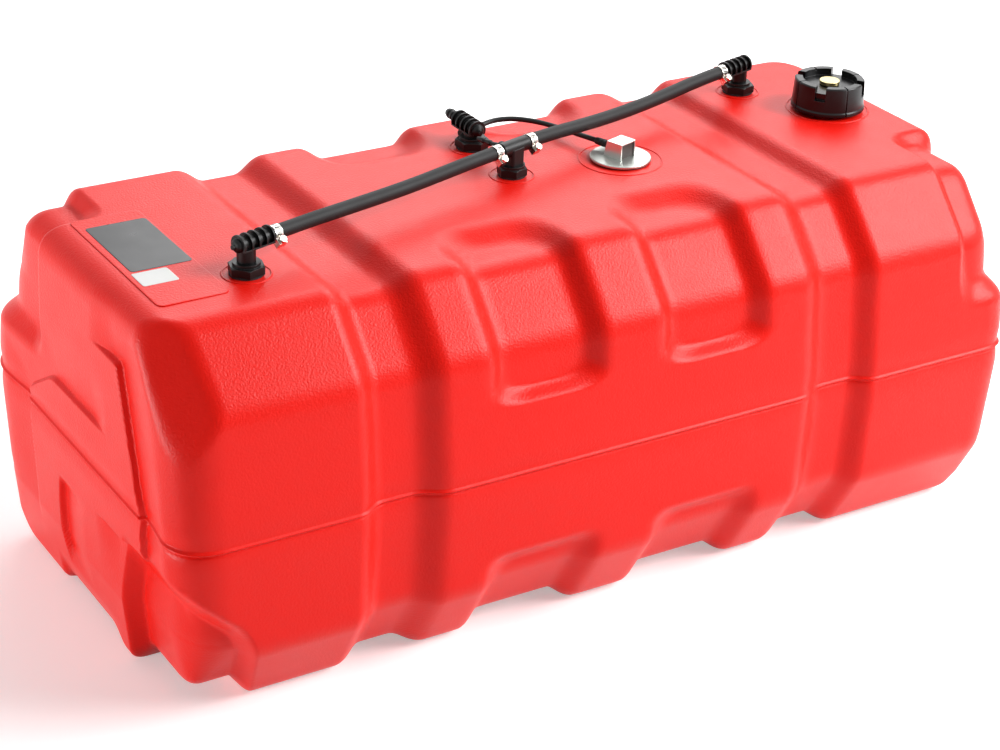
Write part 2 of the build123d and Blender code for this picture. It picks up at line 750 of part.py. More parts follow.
boot_height = flange_high + 7.0
boot_clearance = boot_diameter + 0.2
boot_start = hood_depth / 2 - 1.0
boot_end = hood_depth / 2 + boot_length
hood = hood_block(0) - hood_block(hood_sheet)
hood -= Pos(0, 0, boot_height) * (Rot(-90, 0, 0) * rod(boot_clearance, 0, hood_depth))
save(sender_place * hood, "sender_hood")
block_gap = hood_sheet + 0.2
terminal_block = hood_block(block_gap) & Pos(0, insert_setback, 0) * Box(hood_width, hood_depth, 4 * hood_height)
terminal_block -= Pos(0, 0, boot_height) * (Rot(-90, 0, 0) * rod(boot_clearance, boot_start - 0.2, hood_depth))
save(sender_place * terminal_block, "sender_terminal_block")
boot_place = sender_place * Pos(0, 0, boot_height) * Rot(-90, 0, 0)
boot = rod(boot_diameter, boot_start, boot_end)
boot = chamfer(boot.edges().sort_by(Axis.Z)[-1], 1.2)
save(boot_place * boot, "sender_lead_boot")

pivot_level = float_pivot_height - tank_height
gauge_top = pivot_level + gauge_height / 2
stem = rod(stem_diameter, gauge_top, flange_low)
save(sender_place * stem, "sender_stem")
gauge = Pos(0, 0, pivot_level) * Box(gauge_width, gauge_depth, gauge_height)
arm_y = gauge_depth / 2 + 4.0
arm_half_hub = 2.5
pin_end = arm_y + arm_half_hub + 2.5
gauge += Pos(0, 0, pivot_level) * (Rot(90, 0, 0) * rod(float_pin_diameter, 0, pin_end))
save(sender_place * gauge, "gauge_body")
clip_low = arm_y + arm_half_hub + 0.4
clip = Rot(90, 0, 0) * tube(float_pin_diameter + 5, float_pin_diameter + 0.02, clip_low, clip_low + 0.8)
save(sender_place * Pos(0, 0, pivot_level) * clip, "float_arm_clip")

pin_hole = float_pin_diameter + 2 * turn_clearance
hub = Rot(90, 0, 0) * rod(11, arm_y - arm_half_hub, arm_y + arm_half_hub)
wire_start = 4.0
wire = rod(float_arm_diameter, wire_start, float_arm_length + float_length / 2)
arm = hub + Pos(0, -arm_y, 0) * (Rot(0, -90, 0) * wire)
arm -= Rot(90, 0, 0) * rod(pin_hole, 0, 2 * arm_y)
float_low = float_arm_length - float_length / 2
float_ring = tube(float_diameter, float_arm_diameter + 0.1, float_low, float_low + float_length)
arm_place = sender_place * Pos(0, 0, pivot_level) * Rot(0, -float_droop, 0)
save(arm_place * arm, "float_arm")
save(arm_place * Pos(0, -arm_y, 0) * (Rot(0, -90, 0) * float_ring), "sender_float")


# ---------------------------------------------------------------- sender lead and its plug
lead_start = (sender_place * Pos(0, boot_end, boot_height)).position
lead_bend = (sender_place * Pos(0, boot_end + 17, boot_height)).position
lead_points = [
    (lead_start.X, lead_start.Y, lead_start.Z),
    (lead_bend.X, lead_bend.Y, lead_bend.Z),
    (93.0, 52.0, 384.8),
    (88.0, 73.0, 383.6),
    (77.0, 93.0, 383.8),
    (60.0, 107.0, 384.2),
    (42.0, 112.5, 383.2),
    (26.0, 110.5, 381.0),
    (12.0, 106.5, 380.6),
]
save(hose_solid(lead_points, lead_diameter, 0), "sender_lead")
plug_run = Vector(*lead_points[-1]) - Vector(*lead_points[-2])
plug_plane = Plane(origin=lead_points[-1], z_dir=plug_run)
plug = rod(plug_diameter, 0, plug_length)
plug = chamfer(plug.edges().sort_by(Axis.Z)[-1], 1)
save(plug_plane.location * plug, "sender_lead_plug")
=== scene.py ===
import math

import bpy
import numpy as np
from mathutils import Matrix, Vector


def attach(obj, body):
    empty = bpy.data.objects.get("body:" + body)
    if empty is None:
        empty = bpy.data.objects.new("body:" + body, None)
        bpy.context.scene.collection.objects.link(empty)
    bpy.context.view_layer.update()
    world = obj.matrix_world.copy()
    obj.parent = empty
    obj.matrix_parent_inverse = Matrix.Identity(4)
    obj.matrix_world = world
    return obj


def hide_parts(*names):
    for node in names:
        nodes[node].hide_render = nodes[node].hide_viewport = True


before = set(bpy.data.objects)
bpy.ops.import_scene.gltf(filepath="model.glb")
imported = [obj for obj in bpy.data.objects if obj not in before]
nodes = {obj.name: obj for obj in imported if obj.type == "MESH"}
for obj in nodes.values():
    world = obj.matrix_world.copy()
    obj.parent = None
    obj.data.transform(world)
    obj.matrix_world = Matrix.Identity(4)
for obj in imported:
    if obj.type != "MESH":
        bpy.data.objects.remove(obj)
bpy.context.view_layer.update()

# Outboard fuel tank. Lengths are written in millimetres in the part's own frame, X along the tank
# and Z up, and each mesh and curve is scaled to metres as it is made.


# ---------------------------------------------------------------- camera
# Stands off the front left corner and above the deck, with a long lens and a slight roll. Its place
# is in metres.
camera_place = Vector((-1.1666, -1.8290, 1.2684))
camera_forward = Vector((0.4763, 0.7518, -0.4560)).normalized()
camera_roll = math.radians(2.429)
camera_lens = 87.51

level_right = camera_forward.cross(Vector((0, 0, 1))).normalized()
level_up = level_right.cross(camera_forward)
right = math.cos(camera_roll) * level_right + math.sin(camera_roll) * level_up
up = right.cross(camera_forward)
camera_data = bpy.data.cameras.new("camera")
camera_data.lens = camera_lens
camera_data.sensor_width = 36.0
camera = bpy.data.objects.new("camera", camera_data)
bpy.context.scene.collection.objects.link(camera)
camera_axes = Matrix((right, up, -camera_forward)).transposed().to_4x4()
camera.matrix_world = Matrix.Translation(camera_place) @ camera_axes
bpy.context.scene.camera = camera


# ---------------------------------------------------------------- tank shell
# One blow-moulded body of red high-density polyethylene. Its skin is worked out as one closed
# surface: flat panels that run into each other in soft rounds, with the strap channels, pockets,
# ledges and toes pressed in, and the parting line where the two mould halves met.
mm = 0.001
tank_length = 922.0
tank_width = 455.0
deck_height = 375.0
seam_height = 190.0
half_length = tank_length / 2

# Cross-section: half widths and heights of its corners from the floor up, and their radii.
section_corners = [
    (178.0, 0.0),
    (222.0, 75.0),
    (tank_width / 2, seam_height),
    (214.7, 311.0),
    (156.5, deck_height),
]
section_radii = [28.0, 46.0, 60.0, 46.0, 30.0]

# Ends: reach and height of the corners of their bellied face, and the radii of its inner corners.
end_corners = [
    (half_length - 17.0, 0.0),
    (half_length - 5.0, 75.0),
    (half_length, seam_height),
    (half_length - 5.0, deck_height),
]
end_radii = [40.0, 80.0]

# Edges between section and ends. The floor's radius changes to the upright one over the first
# height span, and that to the deck's over the second, each given by its start and its run. The two
# upright edges under the ledges differ: the right one is sharper by this share, the left one rounder.
floor_edge_radius = 15.0
upright_edge_radius = 40.0
deck_edge_radius = 24.0
floor_edge_span = (30.0, 50.0)
deck_edge_span = (300.0, 45.0)
ledge_edge_share = 0.27

# Flat facets cut across the two upper corners that have no ledge.
facet_distance = (tank_length + tank_width) / math.sqrt(8) - 23.3
facet_bottom = 278.0
facet_lean = 0.57
facet_radius = 16.0
facet_turn = math.radians(50)

# Recesses. Runs are the lengths of their sloping walls, in the order of recess_field's wall lists.
# The toes go deeper than the others, by toe_share.
recess_depth = 13.0
recess_softness = 4.5
channel_start, channel_end = 200.0, half_length - 179.0
channel_runs = (22.0, 18.0)
pocket_centre, pocket_half_width = 92.0, 61.0
upper_pocket_reach, upper_pocket_bottom = 89.0, 258.0
upper_pocket_runs = (17.0, 22.0, 8.0)
upper_pocket_radius = 42.0
lower_pocket_reach, lower_pocket_top = 96.0, 105.0
lower_pocket_runs = (17.0, 12.0, 14.0)
lower_pocket_radius = 20.0
ledge_start, ledge_bottom, ledge_reach = half_length - 72.0, 243.0, 80.0
ledge_runs = (11.0, 17.0, 12.0)
ledge_radius = 34.0
toe_start, toe_end_lean = half_length - 87.0, 0.17
toe_top_place, toe_top_height, toe_top_slope = half_length - 48.0, 115.0, 0.83
toe_reach, toe_side_lean = 77.0, 0.154
toe_runs = (10.0, 12.0, 9.0)
toe_radius = 16.0
toe_share = 1.3

# Relief of the end faces. Places across a face are negative at its front on the left end, which is
# called near, and the right end is the same, turned half round. Spans are the start and the run of a
# soft step, backwards where the run is negative.
relief_softness = 6.0
relief_wall = 3.2
end_span, end_edge_span = (half_length - 81.0, 40.0), (200.0, -25.0)
near_slant = ((-99.0, 310.0), (-140.0, 198.0))
near_side, near_top, near_bottom = -142.0, 317.0, 146.0
near_depth, near_reach, near_span = 6.0, 66.0, (-38.0, -46.0)
far_slant = ((99.0, 209.0), (50.0, 239.0))
far_side, far_top = 110.0, 237.0
far_depth, far_reach, far_span, far_height_span = 4.6, 64.0, (-76.0, 42.0), (50.0, 80.0)
hollow_side, hollow_bow, hollow_middle = 55.0, 0.003, 88.0
hollow_depth, hollow_reach, hollow_wall = 6.0, 66.0, 6.0
hollow_low_span, hollow_high_span = (40.0, 22.0), (142.0, -16.0)
arch_side, arch_depth, arch_reach, arch_wall = 84.0, 8.0, 900.0, 12.0
arch_span, arch_height_span = (-66.0, 40.0), (42.0, -44.0)

# Parting line: heights and widths of its ridge, of the band that sinks towards it and of the fine
# groove that the ridge's lower edge leaves.
seam_ridge, seam_ridge_width = 2.1, 1.4
seam_sink, seam_sink_width = 2.1, 12.0
seam_groove, seam_groove_width, seam_groove_drop = 0.9, 1.4, 3.4

# Places of the fittings on the deck.
vent_x, vent_y = half_length - 131.0, 90.0
tee_x = -5.0
tee_y = tee_x * vent_y / vent_x
pickup_x, pickup_y = -3.0, 77.0
sender_x, sender_y = 112.0, -14.0
filler_x, filler_y = half_length - 75.0, 9.0
filler_bore_radius = 23.0
neck_bottom = deck_height - 11.0
hole_margin = 0.2

# The skin is looked for between these distances along each ray, and its normals are taken over a
# small step. Edges that turn by more than sharp_edge stay crisp, and gloss varies in broad patches.
ray_start, ray_end = 40.0, 330.0
halvings = 20
normal_step = 0.25
sharp_edge = math.radians(38)
gloss_patch = 25.0


def linear(hex_colour):
    """Linear RGBA of an sRGB hex colour: each channel is raised by the sRGB curve."""
    channels = [int(hex_colour[index : index + 2], 16) / 255 for index in (1, 3, 5)]
    return [c / 12.92 if c <= 0.04045 else ((c + 0.055) / 1.055) ** 2.4 for c in channels] + [1.0]


def fill(node, inputs):
    """Gives inputs of a node, by name or number, a value or a link from another node's output."""
    for name, value in inputs.items():
        if isinstance(value, bpy.types.NodeSocket):
            node.id_data.links.new(value, node.inputs[name])
        else:
            node.inputs[name].default_value = value


def add_node(tree, kind, inputs, **settings):
    """Adds a shader node with its settings, and with its inputs filled or linked."""
    node = tree.nodes.new(f"ShaderNode{kind}")
    for name, value in settings.items():
        setattr(node, name, value)
    fill(node, inputs)
    return node


def material(name, colour, roughness, **sockets):
    """Principled material with its nodes, and the values of any further sockets by their names."""
    made = bpy.data.materials.new(name)
    made.use_nodes = True
    shader = made.node_tree.nodes["Principled BSDF"]
    fill(shader, {"Base Color": linear(colour), "Roughness": roughness})
    fill(shader, {socket.replace("_", " "): value for socket, value in sockets.items()})
    return made


def grain(made, size, height, stretch=(1, 1, 1), turn=0.0, detail=2.0, gloss_swing=0.0):
    """Fine relief: noise with grains of that size and height in millimetres, made finer by stretch
    along axes turned about Z. With gloss_swing, noise in broad patches also varies the roughness by
    that much each way."""
    tree = made.node_tree
    shader = tree.nodes["Principled BSDF"]
    place = add_node(tree, "TexCoord", {}).outputs["Object"]
    axes = {"Vector": place, "Rotation": (0, 0, turn), "Scale": [1 / share for share in stretch]}
    mapping = add_node(tree, "Mapping", axes, vector_type="TEXTURE")
    grains = {"Vector": mapping.outputs["Vector"], "Scale": 1 / (size * mm), "Detail": detail}
    noise = add_node(tree, "TexNoise", grains)
    bump = add_node(tree, "Bump", {"Height": noise.outputs["Fac"], "Distance": height * mm})
    fill(shader, {"Normal": bump.outputs["Normal"]})
    if gloss_swing:
        base = shader.inputs["Roughness"].default_value
        patches = add_node(tree, "TexNoise", {"Vector": place, "Scale": 1 / (gloss_patch * mm)})
        limits = {"To Min": base - gloss_swing, "To Max": base + gloss_swing}
        spread = add_node(tree, "MapRange", {"Value": patches.outputs["Fac"], **limits})
        fill(shader, {"Roughness": spread.outputs["Result"]})


def smooth_max(a, b, width):
    """Larger of two fields, rounded over the width where they meet: max plus a parabola."""
    overlap = np.maximum(width - np.abs(a - b), 0.0)
    return np.maximum(a, b) + overlap**2 / (4 * width)


def smooth_min(a, b, width):
    """Smaller of two fields, rounded over the width where they meet."""
    return -smooth_max(-a, -b, width)


def round_width(radius, turn):
    """Width for smooth_max that rounds a corner of that turn, in radians, to the radius."""
    return 4 * radius * (1 - math.cos(turn / 2))


def side_distance(across, up, low, high):
    """Distance outside the straight side that runs up from one corner of an outline to the next."""
    run, rise = high[0] - low[0], high[1] - low[1]
    return ((across - low[0]) * rise - (up - low[1]) * run) / math.hypot(run, rise)


def side_turns(corners):
    """How far an outline turns at each corner, with level sides below the first and above the last."""
    headings = [math.atan2(b[1] - a[1], b[0] - a[0]) for a, b in zip(corners, corners[1:])]
    headings = [0.0] + headings + [math.pi]
    return [after - before for before, after in zip(headings, headings[1:])]


def section_field(across, up):
    """Distance outside the rounded cross-section: smooth maximum of its floor, sides and deck."""
    turns = side_turns(section_corners)
    field = -up
    sides = list(zip(section_corners, section_corners[1:]))
    for (low, high), radius, turn in zip(sides, section_radii, turns):
        field = smooth_max(field, side_distance(across, up, low, high), round_width(radius, turn))
    return smooth_max(field, up - deck_height, round_width(section_radii[-1], turns[-1]))


def end_field(along, up):
    """Distance outside the slightly bellied end face: smooth maximum of its three flats."""
    turns = side_turns(end_corners)[1:-1]
    field = side_distance(along, up, end_corners[0], end_corners[1])
    for low, high, radius, turn in zip(end_corners[1:], end_corners[2:], end_radii, turns):
        field = smooth_max(field, side_distance(along, up, low, high), round_width(radius, turn))
    return field


def hull_field(x, y, z):
    """Distance outside the tank without its recesses: section, ends and the two corner facets."""
    floor_width = round_width(floor_edge_radius, side_turns(end_corners)[0])
    by_ledge = np.where(x * y < 0, 1 - ledge_edge_share * np.sign(x), 1)
    upright_width = round_width(upright_edge_radius, math.pi / 2) * by_ledge
    deck_width = round_width(deck_edge_radius, math.pi / 2)
    low = np.clip((z - floor_edge_span[0]) / floor_edge_span[1], 0, 1)
    high = np.clip((z - deck_edge_span[0]) / deck_edge_span[1], 0, 1)
    width = floor_width + (upright_width - floor_width) * low + (deck_width - upright_width) * high
    field = smooth_max(section_field(np.abs(y), z), end_field(np.abs(x), z), width)
    corner = np.abs(x + y) / math.sqrt(2)
    lean = math.hypot(1, facet_lean)
    facet = (corner - facet_distance + facet_lean * (z - facet_bottom)) / lean
    return smooth_max(field, facet, round_width(facet_radius, facet_turn))


def pressed(walls, runs, radius):
    """Share of a recess's depth, from the distances inside its walls, each wall sloping over its
    run, with the corners between the walls rounded to the radius."""
    share = walls[0] / runs[0]
    for wall, run in zip(walls[1:], runs[1:]):
        share = smooth_min(share, wall / run, round_width(radius, math.pi / 2) / max(runs))
    return share


def ramp(share, top):
    """Share of a recess's depth, held between 0 and the top with soft edges."""
    soft = recess_softness / recess_depth
    return smooth_min(smooth_max(share, 0.0, soft), top, soft)


def recess_field(x, y, z):
    """How deep the skin is pressed in: the deepest of channels, pockets, ledges and toes."""
    along = np.abs(x)
    across = np.abs(y)
    same_side = np.sign(x) * y
    channel = np.minimum((along - channel_start) / channel_runs[0], (channel_end - along) / channel_runs[1])
    beside = pocket_half_width - np.abs(along - pocket_centre)
    upper_walls = [beside, across - upper_pocket_reach, z - upper_pocket_bottom]
    lower_walls = [beside, across - lower_pocket_reach, lower_pocket_top - z]
    ledge_walls = [along - ledge_start, z - ledge_bottom, -same_side - ledge_reach]
    toe_end = (along - toe_start - toe_end_lean * z) / math.hypot(1, toe_end_lean)
    toe_top = toe_top_height + toe_top_slope * (along - toe_top_place) - z
    toe_walls = [toe_end, toe_top / math.hypot(1, toe_top_slope), same_side - toe_reach - toe_side_lean * z]
    upper_pocket = pressed(upper_walls, upper_pocket_runs, upper_pocket_radius)
    lower_pocket = pressed(lower_walls, lower_pocket_runs, lower_pocket_radius)
    ledge = pressed(ledge_walls, ledge_runs, ledge_radius)
    toe = pressed(toe_walls, toe_runs, toe_radius) * toe_share
    deepest = np.maximum.reduce([channel, upper_pocket, lower_pocket, ledge])
    return np.maximum(ramp(deepest, 1.0), ramp(toe, toe_share)) * recess_depth


def fade(value, start, run):
    """Soft step from 0 to 1 over the run that begins at the start: a cubic, level at both ends."""
    share = np.clip((value - start) / run, 0, 1)
    return share * share * (3 - 2 * share)


def wedge(distance, depth, reach, wall=relief_wall):
    """Shallow relief beyond an edge: a short wall of that depth, fading out over its reach."""
    return depth * fade(distance, 0, wall) * fade(distance, reach, -reach)


def relief_field(x, y, z):
    """Relief of the two end faces, on which one centre panel stands proud of its surroundings."""
    side = -np.sign(x) * y
    end = fade(np.abs(x), *end_span) * fade(np.abs(y), *end_edge_span)
    near_line = smooth_max(side_distance(side, z, *near_slant), near_side - side, relief_softness)
    near_ends = smooth_max(z - near_top, near_bottom - z, relief_softness)
    near_edge = smooth_max(near_line, near_ends, relief_softness)
    near = wedge(near_edge, near_depth, near_reach) * fade(side, *near_span)
    far_line = smooth_max(side - far_side, side_distance(side, z, *far_slant), relief_softness)
    far_edge = smooth_max(far_line, z - far_top, relief_softness)
    far = wedge(far_edge, far_depth, far_reach) * fade(side, *far_span) * fade(z, *far_height_span)
    hollow_edge = hollow_side - hollow_bow * (z - hollow_middle) ** 2 - side
    hollow = wedge(hollow_edge, hollow_depth, hollow_reach, hollow_wall)
    hollow = hollow * fade(z, *hollow_low_span) * fade(z, *hollow_high_span)
    arch = wedge(arch_side - side, arch_depth, arch_reach, arch_wall)
    arch = arch * fade(side, *arch_span) * fade(z, *arch_height_span)
    return end * (near + far + hollow + arch)


def bell(distance, width):
    """Bell curve of height 1 that falls to 1/e at that distance from its middle."""
    return np.exp(-((distance / width) ** 2))


def seam_field(z):
    """Parting line: the skin sinks a little towards it and stands out in a thin ridge on it."""
    height = z - seam_height
    sink = seam_sink * bell(height, seam_sink_width) - seam_ridge * bell(height, seam_ridge_width)
    return sink + seam_groove * bell(height + seam_groove_drop, seam_groove_width)


def skin_field(x, y, z):
    """Signed distance, in millimetres, outside the finished skin."""
    return hull_field(x, y, z) + recess_field(x, y, z) + relief_field(x, y, z) + seam_field(z)


def skin_along(origin, direction):
    """Points where rays meet the skin, found by halving the span that holds it again and again."""
    low = np.full(origin.shape[:-1], ray_start)
    high = np.full(origin.shape[:-1], ray_end)
    for _ in range(halvings):
        middle = (low + high) / 2
        point = origin + middle[..., None] * direction
        outside = skin_field(point[..., 0], point[..., 1], point[..., 2]) > 0
        high = np.where(outside, middle, high)
        low = np.where(outside, low, middle)
    return origin + ((low + high) / 2)[..., None] * direction


def skin_normals(points):
    """Unit normals of the skin: the gradient of its field by central differences."""
    steps = np.eye(3) * normal_step
    ahead = [skin_field(*np.moveaxis(points + step, -1, 0)) for step in steps]
    behind = [skin_field(*np.moveaxis(points - step, -1, 0)) for step in steps]
    gradient = np.stack(ahead, axis=-1) - np.stack(behind, axis=-1)
    return gradient / np.linalg.norm(gradient, axis=-1, keepdims=True)


def spaced(stops):
    """Grid lines through a list of (place, spacing up to the next place), closest where asked."""
    lines = []
    for (start, spacing), (end, _) in zip(stops, stops[1:]):
        count = max(1, round((end - start) / spacing))
        lines.append(np.linspace(start, end, count, endpoint=False))
    return np.append(np.concatenate(lines), stops[-1][0])


def add_piece(name, points, faces, finish, body, normals=None):
    """Mesh object from points in millimetres and faces, riding on a CAD body. Without normals of its
    own it is smooth, except across edges that turn sharply."""
    data = bpy.data.meshes.new(name)
    data.from_pydata((np.asarray(points) * mm).tolist(), [], list(faces))
    data.materials.append(finish)
    data.shade_smooth()
    if normals is None:
        data.set_sharp_from_angle(angle=sharp_edge)
    else:
        data.normals_split_custom_set_from_vertices(np.asarray(normals).tolist())
    piece = bpy.data.objects.new(name, data)
    bpy.context.scene.collection.objects.link(piece)
    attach(piece, body)
    return piece


def grid_faces(rows, columns, wrap):
    """Quads of a grid of points numbered row by row; with wrap the last column meets the first."""
    last = columns if wrap else columns - 1
    row, column = np.meshgrid(np.arange(rows - 1), np.arange(last), indexing="ij")
    after = (column + 1) % columns
    start = row * columns
    quads = [start + column, start + after, start + columns + after, start + columns + column]
    return np.stack(quads, axis=-1).reshape(-1, 4)


# The mould's blasted grain is some 0.6 mm across, too fine to show, so it is drawn three times as
# coarse. It breaks up the soft gloss of the polyethylene.
tank_red = material("red_polyethylene", "#E4160A", 0.36, IOR=1.44, Specular_IOR_Level=0.25)
grain(tank_red, 1.923, 0.35, detail=1.5, gloss_swing=0.04)

# Rays leave the tank's long axis at seam height: square to it between the fan centres, and fanned
# round to the poles at the ends. The middle and the two ends are meshes of their own, which meet on
# the floors of the strap channels, where each is closed by an inner wall. The grid is finest across
# the recesses' walls, in millimetres along the tank, and at the seam, in degrees round it.
fan_centre = 300.0
split = 245.0
half_stations = spaced([(0, 7), (28, 2.2), (52, 7), (132, 2.2), (157, 7), (193, 2.2), (228, 6), (split, 1)])
middle_stations = np.concatenate([-half_stations[:0:-1], half_stations])
straight_stations = spaced([(split, 6), (258, 2), (288, 4), (fan_centre, 1)])
fan_leans = np.radians(spaced([(0.5, 0.5), (89.5, 1)]))
end_stations = np.append(straight_stations, np.full(len(fan_leans), fan_centre))
end_leans = np.append(np.zeros_like(straight_stations), fan_leans)
middle_leans = np.zeros_like(middle_stations)
upper = spaced([(0, 0.15), (1.5, 1.3), (13, 0.55), (22, 1.1), (26, 0.7), (66, 0.9), (90, 1)])
lower = spaced([(0, 0.15), (1.5, 1.3), (18, 0.55), (32, 0.8), (66, 0.9), (90, 1)])
turns = np.radians(np.concatenate([upper, 180 - upper[-2::-1], 180 + lower[1:], 360 - lower[-2:0:-1]]))


def closed_grid(rings, first, last):
    """Points and faces of a grid of closed rings, with a fan at each end to a point of its own."""
    rows, columns = rings.shape[:2]
    points = np.concatenate([rings.reshape(-1, 3), [first, last]])
    first_point = np.full(columns, rows * columns)
    ring = np.arange(columns)
    after = (ring + 1) % columns
    last_ring = (rows - 1) * columns
    first_fan = np.stack([first_point, after, ring], axis=-1)
    last_fan = np.stack([last_ring + ring, last_ring + after, first_point + 1], axis=-1)
    return points, grid_faces(rows, columns, wrap=True).tolist() + first_fan.tolist() + last_fan.tolist()


def skin_piece(name, stations, leans, centre_of_first, centre_of_last):
    """One length of the skin: a grid of stations by turns, closed at both ends, and open only where
    the filler neck's bore goes through the deck. The neck's wall hides the edge of that hole."""
    lean, turn = np.meshgrid(leans, turns, indexing="ij")
    station = np.meshgrid(stations, turns, indexing="ij")[0]
    origin = np.stack([station, np.zeros_like(station), np.full_like(station, seam_height)], axis=-1)
    direction = np.stack([np.sin(lean), np.cos(lean) * np.cos(turn), np.cos(lean) * np.sin(turn)], axis=-1)
    points, faces = closed_grid(skin_along(origin, direction), centre_of_first, centre_of_last)
    bore_distance = np.hypot(points[:, 0] - filler_x, points[:, 1] - filler_y)
    in_bore = (bore_distance < filler_bore_radius + hole_margin) & (points[:, 2] > neck_bottom)
    faces = [face for face in faces if not in_bore[face].any()]
    piece = add_piece(name, points, faces, tank_red, "tank", skin_normals(points))
    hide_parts("tank_shell")


left_centre, right_centre = (-split, 0, seam_height), (split, 0, seam_height)
left_pole = skin_along(np.array([-fan_centre, 0, seam_height]), np.array([-1, 0, 0]))
right_pole = skin_along(np.array([fan_centre, 0, seam_height]), np.array([1, 0, 0]))
skin_piece("tank_skin_middle", middle_stations, middle_leans, left_centre, right_centre)
skin_piece("tank_skin_right", end_stations, end_leans, right_centre, right_pole)
skin_piece("tank_skin_left", -end_stations[::-1], -end_leans[::-1], left_pole, left_centre)


# ---------------------------------------------------------------- filler neck
# Neck of the tank under the cap, moulded with the shell out of the same polyethylene. Its screw
# thread has the 6 mm pitch that the cap climbs by, and its bore opens into the tank.
neck_radius = 29.0
neck_top = deck_height + 20.0
neck_round = 1.0
neck_steps = 168
thread_pitch = 6.0
thread_depth = 1.1
thread_flat = 1.6
thread_start = deck_height + 1.5
thread_run_in = 1.5
thread_rings = 56


def turned(profile, steps, x=0.0, y=0.0):
    """Rings of points about the upright axis through x, y, from a profile of radius and height."""
    radius, height = np.array(profile, dtype=float).T
    angle = np.linspace(0, 2 * np.pi, steps, endpoint=False)
    level = np.outer(height, np.ones(steps))
    ring_x, ring_y = np.outer(radius, np.cos(angle)), np.outer(radius, np.sin(angle))
    return np.stack([x + ring_x, y + ring_y, level], axis=-1)


def hoop_faces(rows, columns):
    """Quads of rings that close on themselves both ways: round each ring, and last ring to first."""
    return grid_faces(rows + 1, columns, wrap=True) % (rows * columns)


outside = [(neck_radius, height) for height in np.linspace(neck_bottom, neck_top - neck_round, thread_rings)]
inside = [
    (neck_radius - neck_round, neck_top),
    (filler_bore_radius + neck_round, neck_top),
    (filler_bore_radius, neck_top - neck_round),
    (filler_bore_radius, neck_top - 10 * neck_round),
    (filler_bore_radius, neck_bottom),
]
neck_rings = turned(outside + inside, neck_steps)
threaded = neck_rings[:thread_rings]
height = threaded[..., 2]
rise = height - deck_height - thread_pitch * np.arange(neck_steps) / neck_steps
groove = np.clip(thread_flat * np.cos(2 * np.pi * rise / thread_pitch), -1, 1) / 2 + 0.5
groove *= np.clip((height - thread_start) / thread_run_in, 0, 1)
threaded[..., :2] *= 1 - (thread_depth / neck_radius * groove)[..., None]
neck_rings += (filler_x, filler_y, 0)
neck_faces = hoop_faces(*neck_rings.shape[:2]).tolist()
neck = add_piece("filler_neck", neck_rings.reshape(-1, 3), neck_faces, tank_red, "tank")
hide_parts("tank_shell")


# ---------------------------------------------------------------- rings and label panel on the deck
# The mould leaves a low ring round each fitting's seat, and a raised panel at the left end for the
# labels. Both are part of the shell's moulding, with edges that its wall thickness softens.
ring_half_width = 1.1
ring_rise = 0.8
ring_sides = 12
ring_steps = 160
panel_box = (-half_length + 35, -half_length + 103, -119, 79)
panel_corner = 7.0
panel_edge = 0.7
panel_foot = deck_height - 2.0
panel_top = deck_height + 0.8
corner_step = 5
flat_rim = 0.8
seat_rings = [
    ("left_vent", -vent_x, -vent_y, 22.0),
    ("right_vent", vent_x, vent_y, 22.0),
    ("tee", tee_x, tee_y, 21.5),
    ("pickup", pickup_x, pickup_y, 22.0),
    ("sender", sender_x, sender_y, 41.0),
    ("cap", filler_x, filler_y, 42.5),
]
angle = np.linspace(0, 2 * np.pi, ring_sides, endpoint=False)
ring_height = deck_height + ring_rise * np.sin(angle)
for name, x, y, radius in seat_rings:
    section = np.stack([radius + ring_half_width * np.cos(angle), ring_height], axis=-1)
    rings = turned(section, ring_steps, x, y)
    faces = hoop_faces(*rings.shape[:2]).tolist()
    add_piece(f"{name}_seat_ring", rings.reshape(-1, 3), faces, tank_red, "tank")


def plate(name, box, corner, low, high, edge, finish, slot_name):
    """Flat plate with rounded corners: outlines at rising heights, drawn in over its rounded edge.
    The last outline lies flat on top, so that the fan inside it starts level."""
    left, right_side, front, back = box
    angle = np.radians(np.arange(0, 360, corner_step) + corner_step / 2)
    centre_x = np.where(np.cos(angle) > 0, right_side - corner, left + corner)
    centre_y = np.where(np.sin(angle) > 0, back - corner, front + corner)
    half_round = 0.3 * edge
    outline = [(0, low), (0, high - edge), (half_round, high - half_round)]
    outline += [(edge, high), (edge + flat_rim, high)]
    rings = []
    for inset, height in outline:
        x = centre_x + (corner - inset) * np.cos(angle)
        y = centre_y + (corner - inset) * np.sin(angle)
        rings.append(np.stack([x, y, np.full_like(x, height)], axis=-1))
    middle = ((left + right_side) / 2, (front + back) / 2)
    points, faces = closed_grid(np.array(rings), (*middle, low), (*middle, high))
    return add_piece(name, points, faces, finish, "tank")


plate("label_panel", panel_box, panel_corner, panel_foot, panel_top, panel_edge, tank_red, "tank_red")


# ---------------------------------------------------------------- blank labels
# Two plain self-adhesive vinyl labels on the panel, with nothing printed on them: a large dark one
# and a small white one. Vinyl is calendered, so it is glossy with a faint ripple, 11 mm by 37 mm.
label_foot = panel_top - 0.3
label_top = panel_top + 0.25
label_edge = 0.15
dark_label_box = (-half_length + 42, -half_length + 101, -46, 58)
dark_label_corner = 4.0
white_label_box = (-half_length + 40, -half_length + 74, -77, -49)
white_label_corner = 2.5

